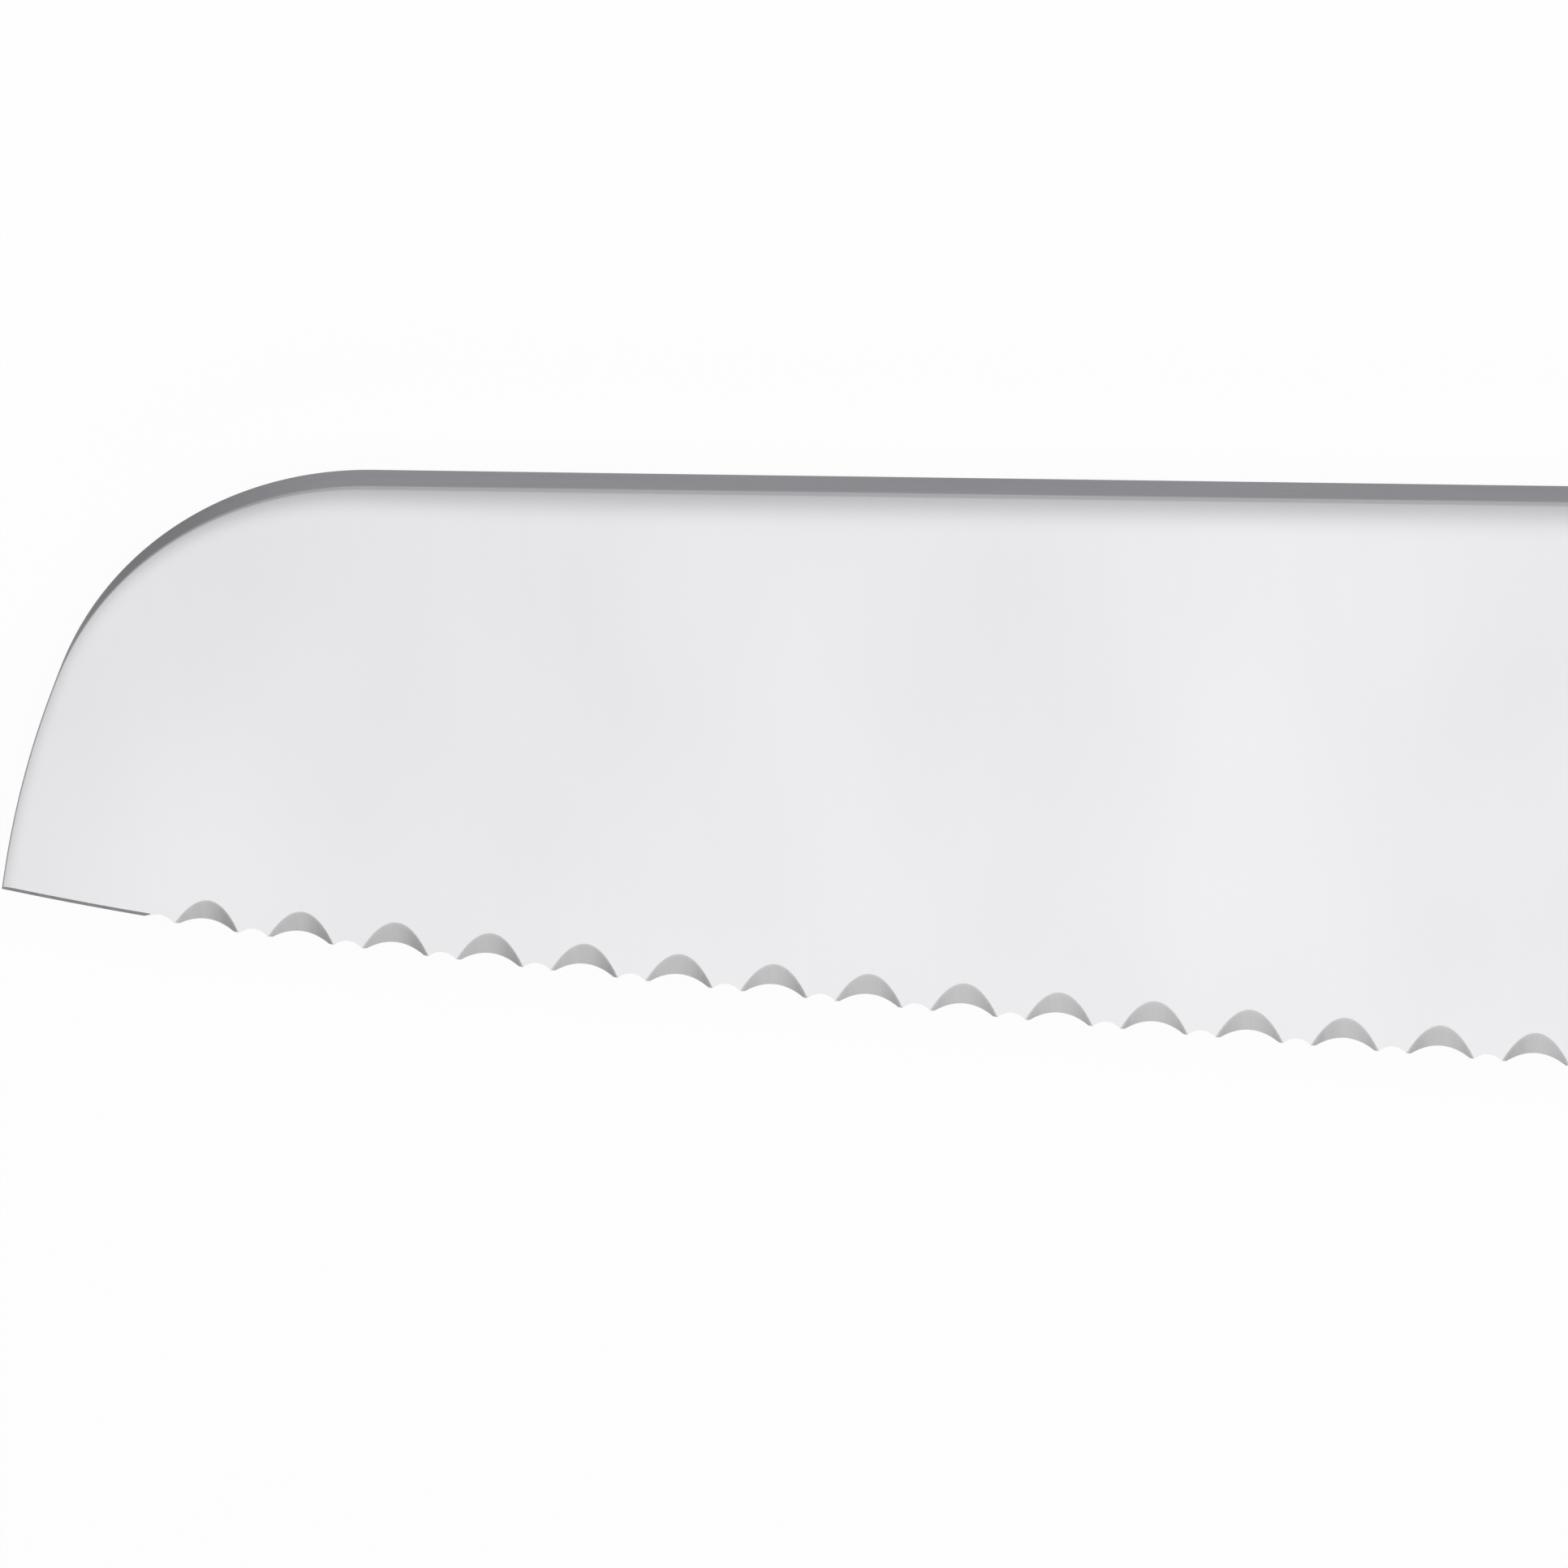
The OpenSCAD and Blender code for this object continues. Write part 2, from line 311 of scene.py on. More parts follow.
    def edge_at(self, s: float) -> Pair:
        """Point on the edge at a distance along it from the tip."""
        lean = radians(self.lean_at(s))
        if s >= self.sweep_arc + self.belly_arc:
            return self.belly_end + s - self.sweep_arc - self.belly_arc, -self.blade_h
        on_sweep = s < self.sweep_arc
        centre, radius = (self.sweep_c, self.sweep_r) if on_sweep else (self.belly_c, self.belly_r)
        return centre[0] - radius * sin(lean), centre[1] - radius * cos(lean)

    def station(self, u: float, open_share: float) -> Station:
        """Section of the handle.

        Args:
            u: Share of the handle's length.
            open_share: How far the butt is still open, from 0 to 1.

        Returns:
            The station.
        """
        wave = (1 - cos(tau * u)) / 2
        hollow = (1 - cos(tau * u / self.grip_share)) / 2 if u < self.grip_share else 0.0
        top = -self.back_drop - self.back_fall * u * u
        low = -self.back_drop - self.handle_h + self.grip_in * hollow
        low += self.low_rise * (u - wave * self.waist) - self.butt_out * u**4
        thickness = self.butt_t_share + (1 - self.butt_t_share) * open_share
        return Station(
            self.handle_x + u * self.scale_len,
            (top + low) / 2,
            (top - low) / 2 * open_share,
            self.half_s + (self.half_t - self.half_s) * thickness,
        )

    def stations(self) -> list[Station]:
        """All sections of the handle, from the bolster to the butt."""
        sweep = radians(self.butt_sweep)
        start = 1 - self.butt_round / self.scale_len
        row = [self.station(start * k / HANDLE_STEPS, 1.0) for k in range(HANDLE_STEPS + 1)]
        for k in range(1, BUTT_STEPS + 1):
            a = sweep * k / BUTT_STEPS
            u = start + (1 - start) * sin(a) / sin(sweep)
            row.append(self.station(u, cos(a) ** self.butt_power))
        return row

    def seat(self, piece: Piece) -> None:
        """Turns a finished piece from millimetres on the knife's axes into metres in the row's frame."""
        piece.data.transform(self.row_frame())
        piece.data.update()

    def row_frame(self) -> Matrix:
        """Turns millimetres on the knife's axes into metres in the row's frame."""
        return Matrix.Scale(MM, 4) @ Matrix.Translation((-self.total / 2, self.blade_h / 2, self.half_t))

    def face(self) -> Matrix:
        """Frame of the front face: zero on the arris of the spine, tilted with the grind, in millimetres."""
        return Matrix.Translation((0, 0, self.half_s)) @ Matrix.Rotation(radians(self.taper), 4, "X")


# Modelling helpers


def clear_selection() -> None:
    """Leaves edit mode and deselects every object."""
    if bpy.context.object is not None and bpy.context.object.mode != "OBJECT":
        bpy.ops.object.mode_set(mode="OBJECT")
    bpy.ops.object.select_all(action="DESELECT")


def make_active(piece: Piece) -> None:
    """Selects one object alone and makes it the active one.

    Args:
        piece: The object to work on.
    """
    clear_selection()
    piece.select_set(True)
    bpy.context.view_layer.objects.active = piece


def apply_modifiers(piece: Piece) -> None:
    """Applies the piece's modifiers from the first to the last.

    Args:
        piece: The object whose modifiers are applied.
    """
    make_active(piece)
    for modifier in list(piece.modifiers):
        bpy.ops.object.modifier_apply(modifier=modifier.name)


def select_where(piece: Piece, kind: str, test: Callable[[object], bool]) -> None:
    """Selects vertices, edges or faces of a piece in edit mode.

    Args:
        piece: The object in edit mode.
        kind: VERT, EDGE or FACE.
        test: Says of a vertex, edge or face whether it is selected.
    """
    bpy.ops.mesh.select_mode(type=kind)
    bpy.ops.mesh.select_all(action="DESELECT")
    form = bmesh.from_edit_mesh(piece.data)
    for item in {"VERT": form.verts, "EDGE": form.edges, "FACE": form.faces}[kind]:
        if test(item):
            item.select_set(True)
    form.select_flush_mode()
    bmesh.update_edit_mesh(piece.data)


def select_all() -> None:
    """Selects all of the piece in edit mode."""
    bpy.ops.mesh.select_all(action="SELECT")


def to_object_mode() -> None:
    """Leaves edit mode."""
    bpy.ops.object.mode_set(mode="OBJECT")


def open_piece(piece: Piece) -> None:
    """Opens a piece in edit mode with all of it selected.

    Args:
        piece: The object to open.
    """
    make_active(piece)
    bpy.ops.object.mode_set(mode="EDIT")
    select_all()


def open_in_place() -> Piece:
    """Writes the place of the active piece into its mesh, and opens it with all of it selected.

    Returns:
        The piece, in edit mode.
    """
    bpy.ops.object.transform_apply(location=True, rotation=True, scale=True)
    bpy.ops.object.mode_set(mode="EDIT")
    select_all()
    return bpy.context.object


def add_point(place: Triple) -> Piece:
    """Adds a small plane and draws it together to one point, ready to be extruded.

    Args:
        place: The point, in millimetres.

    Returns:
        The object, in edit mode with the point selected.
    """
    clear_selection()
    bpy.ops.mesh.primitive_plane_add(size=1.0, location=place)
    piece = open_in_place()
    bpy.ops.mesh.select_mode(type="VERT")
    bpy.ops.mesh.merge(type="CENTER")
    return piece


def move_by(step: Triple) -> None:
    """Moves what is selected by a step."""
    bpy.ops.transform.translate(value=step)


def extrude_by(step: Triple) -> None:
    """Extrudes what is selected by a step."""
    bpy.ops.mesh.extrude_region_move(TRANSFORM_OT_translate={"value": step})


def scale_by(factors: Triple, centre: Triple) -> None:
    """Scales what is selected about a point."""
    bpy.ops.transform.resize(value=factors, center_override=centre)


def sweep_about(centre: Pair, angle: float, steps: int) -> None:
    """Sweeps what is selected round an upright axis, by degrees that count anticlockwise from above."""
    bpy.ops.mesh.spin(steps=steps, angle=radians(-angle), center=(*centre, 0.0), axis=(0.0, 0.0, 1.0))


def close_up() -> None:
    """Merges doubles, turns all faces outwards and leaves edit mode."""
    bpy.ops.mesh.select_mode(type="VERT")
    select_all()
    bpy.ops.mesh.remove_doubles(threshold=MERGE_FINE)
    bpy.ops.mesh.normals_make_consistent(inside=False)
    to_object_mode()


def turn_profile(start: Triple, steps: list[Pair]) -> Piece:
    """Draws a profile outwards from an upright axis and turns it all the way round.

    Args:
        start: Where the profile starts, on the axis.
        steps: Steps of the profile, away from the axis and upwards.

    Returns:
        The turned form.
    """
    piece = add_point(start)
    for out, up in steps:
        extrude_by((out, 0.0, up))
    select_all()
    sweep_about((start[0], start[1]), 360.0, LATHE_STEPS)
    close_up()
    return piece


def ease_rims(piece: Piece, width: float, segments: int) -> None:
    """Rounds the crisp rims of a piece.

    Args:
        piece: The piece.
        width: Width of the rounding.
        segments: Faces across it.
    """
    bevel = piece.modifiers.new("rim", "BEVEL")
    bevel.width, bevel.segments, bevel.limit_method = width, segments, "ANGLE"
    bevel.angle_limit = radians(RIM_ANGLE)
    apply_modifiers(piece)


def join(pieces: list[Piece]) -> Piece:
    """Joins objects into the first one, with their places in the mesh.

    Args:
        pieces: The objects.

    Returns:
        The joined object.
    """
    clear_selection()
    for piece in pieces:
        piece.select_set(True)
    bpy.context.view_layer.objects.active = pieces[0]
    bpy.ops.object.transform_apply(location=True, rotation=True, scale=True)
    if len(pieces) > 1:
        bpy.ops.object.join()
    return bpy.context.object


def cut_away(piece: Piece, cutter: Piece) -> None:
    """Cuts one form out of another and throws the cutter away.

    Args:
        piece: What is cut.
        cutter: The form that is taken out.
    """
    cut = piece.modifiers.new("cut", "BOOLEAN")
    cut.operation, cut.solver, cut.object = "DIFFERENCE", "EXACT", cutter
    apply_modifiers(piece)
    make_active(cutter)
    bpy.ops.object.delete()
    open_piece(piece)
    bpy.ops.mesh.select_mode(type="VERT")
    bpy.ops.mesh.remove_doubles(threshold=MERGE_CUT)
    to_object_mode()


def set_finish(piece: Piece, finishes: list[bpy.types.Material], slot: int) -> None:
    """Gives a piece its materials and puts all its faces on one of them.

    Args:
        piece: The piece.
        finishes: Its materials.
        slot: Number of the material for its faces.
    """
    piece.data.materials.clear()
    for finish in finishes:
        piece.data.materials.append(finish)
    for face in piece.data.polygons:
        face.material_index = slot


def smooth(piece: Piece, angle: float) -> None:
    """Shades a piece smooth but for its crisp edges, with the large faces kept flat.

    Args:
        piece: The piece.
        angle: Angle in degrees above which an edge stays crisp.
    """
    make_active(piece)
    bpy.ops.object.shade_smooth_by_angle(angle=radians(angle))
    bpy.ops.object.mode_set(mode="EDIT")
    select_where(piece, "EDGE", lambda edge: len({face.material_index for face in edge.link_faces}) == 2)
    bpy.ops.mesh.mark_sharp()
    to_object_mode()
    weight = piece.modifiers.new("weight", "WEIGHTED_NORMAL")
    weight.keep_sharp = True
    apply_modifiers(piece)


def draw_section(station: Station, round_w: float, base: float, whole: bool) -> Piece:
    """Draws a section of the handle, with flat sides and rounded long edges.

    Args:
        station: Place and half sizes of the section.
        round_w: Width of the rounded edges.
        base: Height that the rounding starts from.
        whole: True for both sides, False for the upper half alone.

    Returns:
        The filled section, in edit mode and selected.
    """
    clear_selection()
    bpy.ops.mesh.primitive_circle_add(
        vertices=SECTION_STEPS, radius=1.0, location=(station.x, 0.0, 0.0), rotation=UPRIGHT
    )
    piece = open_in_place()
    scale_by((1.0, round_w, station.half_z - base), (station.x, 0.0, 0.0))
    if not whole:
        select_where(piece, "VERT", lambda v: v.co.z < -SAME_PLACE)
        bpy.ops.mesh.delete(type="VERT")
    for sign in (1.0, -1.0):
        select_where(piece, "VERT", lambda v: v.co.y * sign > SAME_PLACE)
        move_by((0.0, sign * (station.half_y - round_w), 0.0))
    if not whole:
        select_where(piece, "VERT", lambda v: abs(v.co.z) < SAME_PLACE)
        bpy.ops.mesh.edge_face_add()
    select_all()
    move_by((0.0, station.mid, base))
    bpy.ops.mesh.edge_face_add()
    return piece


def loft_through(row: list[Station], base: float) -> None:
    """Extrudes the selected section through a row of stations.

    Args:
        row: The stations, the first of them where the section stands.
        base: Height about which the sections change their thickness.
    """
    for before, after in zip(row, row[1:]):
        extrude_by((after.x - before.x, after.mid - before.mid, 0.0))
        thickness = (after.half_z - base) / (before.half_z - base)
        scale_by((1.0, after.half_y / before.half_y, thickness), (after.x, after.mid, base))


# Finishes


def fill(tree: Tree, node: bpy.types.ShaderNode, inputs: Inputs) -> None:
    """Links or sets the inputs of a node.

    Args:
        tree: The node tree.
        node: The node.
        inputs: For each input what is linked to it, or its value.
    """
    for name, value in inputs.items():
        if isinstance(value, Socket):
            tree.links.new(value, node.inputs[name])
        else:
            node.inputs[name].default_value = value


def add_node(tree: Tree, kind: str, inputs: Inputs | None = None, **options: str) -> bpy.types.ShaderNode:
    """Adds a node to a tree.

    Args:
        tree: The node tree.
        kind: Kind of the node.
        inputs: For each input what is linked to it, or its value.
        options: Settings of the node.

    Returns:
        The node.
    """
    node = tree.nodes.new(f"ShaderNode{kind}")
    for name, value in options.items():
        setattr(node, name, value)
    fill(tree, node, inputs or {})
    return node


def new_material(name: str) -> tuple[bpy.types.Material, Tree, bpy.types.ShaderNode]:
    """Makes an empty node material.

    Args:
        name: Name of the finish.

    Returns:
        The material, its node tree and its Principled shader.
    """
    material = bpy.data.materials.new(name)
    material.use_nodes = True
    tree = material.node_tree
    tree.nodes.clear()
    shader = add_node(tree, "BsdfPrincipled")
    add_node(tree, "OutputMaterial", {"Surface": shader.outputs["BSDF"]})
    return material, tree, shader


def grain(tree: Tree, stretch: Triple, detail: float) -> Socket:
    """Adds a noise that is stretched along the grain of a surface.

    Args:
        tree: The node tree.
        stretch: Scale along each axis, in cycles per metre.
        detail: Octaves of the noise.

    Returns:
        The value of the noise.
    """
    place = add_node(tree, "TexCoord").outputs["Object"]
    mapping = add_node(tree, "Mapping", {"Vector": place, "Scale": stretch})
    noise = {"Vector": mapping.outputs["Vector"], "Scale": 1.0, "Detail": detail, "Roughness": 0.6}
    return add_node(tree, "TexNoise", noise).outputs["Fac"]


def spread(tree: Tree, source: Socket, ends: Pair, start: Pair = NOISE_RANGE, kind: str = "LINEAR") -> Socket:
    """Spreads a value from one range over another.

    Args:
        tree: The node tree.
        source: The value.
        ends: Range that it goes to.
        start: Range that it comes from.
        kind: LINEAR, or SMOOTHSTEP for soft ends.

    Returns:
        The spread value.
    """
    ranges = dict(zip(("From Min", "From Max", "To Min", "To Max"), (*start, *ends)))
    node = add_node(tree, "MapRange", {"Value": source, **ranges}, interpolation_type=kind)
    return node.outputs["Result"]


def combine(tree: Tree, operation: str, first: Socket, second: Socket | float) -> Socket:
    """Works one value out of two."""
    return add_node(tree, "Math", {0: first, 1: second}, operation=operation).outputs["Value"]


def along_x(tree: Tree, space: str) -> Socket:
    """Gives the x coordinate of what is shaded, in Object or Generated coordinates."""
    place = add_node(tree, "TexCoord").outputs[space]
    return add_node(tree, "SeparateXYZ", {"Vector": place}).outputs["X"]


def two_tints(tree: Tree, noise: Socket, low: Triple, high: Triple) -> Socket:
    """Mixes two colours, the second where the noise is high."""
    tints = {"Factor": spread(tree, noise, (0.0, 1.0)), "A": (*low, 1.0), "B": (*high, 1.0)}
    return add_node(tree, "Mix", tints, data_type="RGBA").outputs["Result"]


def relief(tree: Tree, height: Socket, strength: float, depth: float) -> Socket:
    """Turns a noise into fine relief, with its depth in metres."""
    bump = {"Height": height, "Strength": strength, "Distance": depth}
    return add_node(tree, "Bump", bump).outputs["Normal"]


@dataclass(frozen=True)
class SteelFinish:
    """Ground stainless steel, with lines along its grinding direction.

    Attributes:
        name: Name of the material.
        tint: Colour where the steel is brightest.
        dark_tint: Colour in the deepest lines.
        rough: Roughness range.
        along: Stretch of the lines along x, y and z, in cycles per metre.
        depth: Depth of the lines in the bump, in metres.
        painted_nose_shade: Painted shade towards the nose, as a factor on the colour there, and how far
            behind the tip it has faded out, in metres.
        painted_shade_heel_lift: Factor on the colour at the bolster, reached over the last third of the
            blade, that lifts painted shade there.
        edge_tint: Share of the mirroring that is kept at a grazing angle.
    """

    name: str
    tint: Triple
    dark_tint: Triple
    rough: Pair
    along: Triple
    depth: float
    painted_nose_shade: Pair = (1.0, 0.1)
    edge_tint: float = 1.0
    painted_shade_heel_lift: float = 1.0

    def build(self) -> bpy.types.Material:
        """Builds the material.

        Returns:
            The steel.
        """
        material, tree, shader = new_material(self.name)
        lines = grain(tree, self.along, 2.0)
        clouds = grain(tree, CLOUD_GRAIN, 2.0)
        tints = two_tints(tree, lines, self.dark_tint, self.tint)
        shaded_tints = {"Vector": tints, "Scale": self.paint_shade_along(tree)}
        cloudy = spread(tree, clouds, (-CLOUD_ROUGH, CLOUD_ROUGH))
        looks = {
            "Base Color": add_node(tree, "VectorMath", shaded_tints, operation="SCALE").outputs["Vector"],
            "Metallic": 1.0,
            "Specular Tint": (self.edge_tint, self.edge_tint, self.edge_tint, 1.0),
            "Roughness": combine(tree, "ADD", spread(tree, lines, self.rough), cloudy),
            "Normal": relief(tree, lines, 1.0, self.depth),
        }
        fill(tree, shader, looks)
        return material

    def paint_shade_along(self, tree: Tree) -> Socket:
        """Makes the painted shade of the steel: darker towards the tip, and lifted in front of the bolster.

        Args:
            tree: The node tree.

        Returns:
            The factor on the colour.
        """
        x = along_x(tree, "Object")
        behind_tip = TIP_X, TIP_X + self.painted_nose_shade[1]
        before_bolster = TIP_X + PAINTED_SHADE_HEEL_FADE[0], TIP_X + PAINTED_SHADE_HEEL_FADE[1]
        # Painted shade: the colour is darkened towards the nose and lifted in front of the bolster, by place
        # along x.
        nose = spread(tree, x, (self.painted_nose_shade[0], 1.0), behind_tip, "SMOOTHSTEP")
        heel = spread(tree, x, (1.0, self.painted_shade_heel_lift), before_bolster, "SMOOTHSTEP")
        return combine(tree, "MULTIPLY", nose, heel)


@dataclass(frozen=True)
class PlasticFinish:
    """Moulded black plastic with a fine matt grain.

    Attributes:
        name: Name of the material.
        tint: Base colour.
        pale_tint: Colour of the worn high spots.
        rough: Roughness range.
        depth: Depth of the grain in the bump, in metres.
    """

    name: str
    tint: Triple
    pale_tint: Triple
    rough: Pair
    depth: float

    def build(self) -> bpy.types.Material:
        """Builds the material.

        Returns:
            The plastic.
        """
        material, tree, shader = new_material(self.name)
        fine = grain(tree, MOULD_GRAIN, 3.0)
        worn = grain(tree, WORN_GRAIN, 3.0)
        looks = {
            "Base Color": two_tints(tree, worn, self.tint, self.pale_tint),
            "Roughness": spread(tree, fine, self.rough),
            "Normal": relief(tree, fine, 0.6, self.depth),
        }
        fill(tree, shader, looks)
        return material


# The face is painted a little darker towards the nose, as painted shade.
FACE_STEEL = SteelFinish(
    "satin_blade_steel",
    (0.88, 0.875, 0.895),
    (0.872, 0.867, 0.887),
    (0.3, 0.31),
    (1500.0, 14.0, 14.0),
    0.0000002,
    painted_nose_shade=(0.955, 0.1),
)
# The spine's dark colour is painted shade: it is the same steel as the face, darkened to stand for the shade
# that it mirrors. Its mirroring at a grazing angle is dimmed too, it is darker still at the nose and lifted
# again towards the bolster.
SPINE_STEEL_PAINTED_DARK = SteelFinish(
    "spine_steel_painted_shade",
    (0.338, 0.333, 0.354),
    (0.31, 0.306, 0.326),
    (0.3, 0.36),
    (60.0, 2600.0, 2600.0),
    0.000002,
    painted_nose_shade=(0.58, 0.022),
    edge_tint=0.5,
    painted_shade_heel_lift=2.0,
)
# The scallops are painted darker towards the nose, as painted shade.
SCALLOP_STEEL = SteelFinish(
    "ground_scallop_steel",
    (0.775, 0.77, 0.78),
    (0.725, 0.72, 0.73),
    (0.3, 0.36),
    (2400.0, 90.0, 90.0),
    0.000002,
    painted_nose_shade=(0.88, 0.075),
)
# The honed bevel's dark colour is painted shade, standing in for the darker reflection that the bevel shows.
HONED_STEEL_PAINTED_DARK = SteelFinish(
    "honed_edge_steel_painted_dark", (0.5, 0.5, 0.51), (0.42, 0.42, 0.43), (0.3, 0.36), (2400.0, 90.0, 90.0), 0.000003
)
BOLSTER_STEEL = SteelFinish(
    "brushed_bolster_steel",
    (0.68, 0.68, 0.69),
    (0.6, 0.6, 0.61),
    (0.3, 0.36),
    (90.0, 2200.0, 2200.0),
    0.000004,
)
RIVET_STEEL = SteelFinish(
    "ground_rivet_steel", (0.66, 0.66, 0.67), (0.56, 0.56, 0.57), (0.3, 0.36), (90.0, 2600.0, 90.0), 0.000004
)
SCALE_PLASTIC = PlasticFinish(
    "matt_black_scale", (0.022, 0.022, 0.024), (0.034, 0.034, 0.037), (0.42, 0.56), 0.00002
)


# The pieces


class Zone(Enum):
    """Finishes of the blade, by their slot on the mesh."""

    FACE = 0
    SPINE = 1
    SCALLOP = 2
    HONED = 3


class Wheel(Enum):
    """What the scallops are ground with."""

    NARROW = "narrow"
    WIDE = "wide"
    RIM = "rim"


@dataclass(frozen=True)
class WheelBar:
    """Bar that grinds a scallop: 1 inside the edge or -1 outside, steps of its arc, height and length."""

    side: int
    steps: int
    lift: float
    length: float


@dataclass(frozen=True)
class BevelBar:
    """Bar that grinds a bevel: its start in front of the tip, start and width of its slope, thickness."""

    before: float
    start: float
    width: float
    thick: float


WIDE_BAR = WheelBar(side=1, steps=36, lift=1.2, length=16.0)
NARROW_BAR = WheelBar(side=-1, steps=24, lift=1.6, length=12.0)
BACK_BAR = BevelBar(before=12.0, start=-3.0, width=22.0, thick=-7.0)
HONED_BAR = BevelBar(before=3.0, start=0.8, width=-3.0, thick=2.0)


@dataclass
class Blade:
    """The ground blade in front of the bolster.

    Attributes:
        sizes: Sizes of the knife.
        shoulder_w: Width of the rolled shoulder along the spine and the nose.
        shoulder_drop: How far the shoulder rolls off at the arris.
        shoulder_power: How late the shoulder rolls off, 1 for a plain slope.
        nose_start: Share of the shoulder's width that is left where the nose starts.
        nose_end: Share of it that is left on the lower part of the nose.
        nose_depth: Share of the shoulder's depth that is left there.
        arris_r: Radius of the front arris between the shoulder and the spine.
        back_arris_r: Radius of the back arris.
        soft_w: Width of the soft rim round the ground arch of a wide scallop.
        tip_ease: How much shallower the first wide scallop is ground, and each next one half as much.
        shoulder_steps: Faces across the shoulder.
        arris_steps: Faces round the arris.
        honed_w: Width of the honed bevel along the plain edge near the tip.
        honed_angle: Angle of that bevel.
        honed_over: How far it runs on below the first scallop.
        crisp: Angle above which an edge stays crisp.
    """

    sizes: KnifeSizes
    shoulder_w: float = 2.6
    shoulder_drop: float = 0.11
    shoulder_power: float = 2.5
    nose_start: float = 0.85
    nose_end: float = 0.36
    nose_depth: float = 0.26
    arris_r: float = 0.25
    back_arris_r: float = 0.06
    soft_w: float = 0.2
    tip_ease: float = 0.21
    shoulder_steps: int = 12
    arris_steps: int = 6
    honed_w: float = 0.36
    honed_angle: float = 17.0
    honed_over: float = 0.3
    crisp: float = 24.0

    def shoulder(self, arris: float) -> list[Pair]:
        """Section of the shoulder.

        Args:
            arris: Radius of the arris.

        Returns:
            Distance from the outline and height against the face, from the face out to the wall.
        """
        span = self.shoulder_w - arris
        row = []
        for k in range(self.shoulder_steps + 1):
            share = k / self.shoulder_steps
            row.append((self.shoulder_w - span * share, -self.shoulder_drop * share**self.shoulder_power))
        for k in range(1, self.arris_steps + 1):
            a = pi / 2 * k / self.arris_steps
            row.append((arris * (1 - sin(a)), -self.shoulder_drop - arris * (1 - cos(a))))
        return row

    def draw_shoulder(self, arris: float) -> Piece:
        """Draws the shoulder from the heel along the spine and round the nose.

        Args:
            arris: Radius of the arris.

        Returns:
            The sheet, still in edit mode.
        """
        s = self.sizes
        row = self.shoulder(arris)
        piece = add_point((s.blade_len, -row[0][0], row[0][1]))
        for before, after in zip(row, row[1:]):
            extrude_by((0.0, before[0] - after[0], after[1] - before[1]))
        select_all()
        for _ in range(SPINE_STEPS):
            extrude_by(((s.nose_top_c[0] - s.blade_len) / SPINE_STEPS, 0.0, 0.0))
        scale_by((self.nose_start, self.nose_start, self.nose_start), (s.nose_top_c[0], 0.0, 0.0))
        self.sweep_top_arc()
        sweep_about(s.nose_low_c, s.nose_turn - s.nose_lean, NOSE_LOW_STEPS)
        scale_by((1.0, 1.0, 0.0), ORIGIN)
        return piece

    def sweep_top_arc(self) -> None:
        """Sweeps the shoulder's section round the upper arc of the nose, while it narrows and flattens."""
        s = self.sizes
        centre, span = s.nose_top_c, 90.0 - s.nose_turn
        width, depth = self.nose_start, self.nose_start
        for k in range(1, NOSE_TOP_STEPS + 1):
            ease = sin(pi / 2 * k / NOSE_TOP_STEPS)
            next_width = self.nose_start + (self.nose_end - self.nose_start) * ease
            next_depth = self.nose_start + (self.nose_depth - self.nose_start) * ease
            sweep_about(centre, span / NOSE_TOP_STEPS, 1)
            angle = radians(90.0 + span * k / NOSE_TOP_STEPS)
            rim = (centre[0] + s.nose_r_top * cos(angle), centre[1] + s.nose_r_top * sin(angle), 0.0)
            scale_by((next_width / width, next_width / width, next_depth / depth), rim)
            width, depth = next_width, next_depth

    def draw_edge(self) -> None:
        """Draws the edge from the selected tip to the heel corner."""
        s = self.sizes
        sweep_about(s.sweep_c, s.tip_lean - s.belly_lean, SWEEP_STEPS)
        sweep_about(s.belly_c, s.belly_lean, BELLY_STEPS)
        extrude_by((s.blade_len - s.heel_r - s.belly_end, 0.0, 0.0))

    def face_sheet(self, arris: float) -> Piece:
        """Makes one face with its rolled shoulder, on the front of the blade.

        Args:
            arris: Radius of the arris.

        Returns:
            The sheet, still in edit mode and selected.
        """
        s = self.sizes
        piece = self.draw_shoulder(arris)
        tip = Vector((0.0, -s.tip_drop, 0.0))
        select_where(piece, "VERT", lambda v: (v.co - tip).length < MERGE_DRAWN)
        self.draw_edge()
        sweep_about((s.blade_len - s.heel_r, s.heel_r - s.blade_h), 90, CORNER_STEPS)
        extrude_by((0.0, s.blade_h - s.heel_r - self.shoulder_w, 0.0))
        select_all()
        bpy.ops.mesh.remove_doubles(threshold=MERGE_FINE)
        select_where(piece, "VERT", lambda v: abs(v.co.z) < LEVEL)
        bpy.ops.mesh.edge_face_add()
        select_all()
        bpy.ops.transform.rotate(
            value=radians(-s.taper), orient_axis="X", orient_type="GLOBAL", center_override=ORIGIN
        )
        move_by((0.0, 0.0, s.half_s))
        return piece

    def blank(self) -> Piece:
        """Makes the flat ground blank, both faces tilted and joined by the spine.

        Returns:
            The blank.
        """
        front = self.face_sheet(self.arris_r)
        back = self.face_sheet(self.back_arris_r)
        scale_by(MIRROR_Z, ORIGIN)
        piece = join([front, back])
        open_piece(piece)
        bpy.ops.mesh.select_mode(type="EDGE")
        bpy.ops.mesh.region_to_loop()
        bpy.ops.mesh.bridge_edge_loops()
        close_up()
        return piece

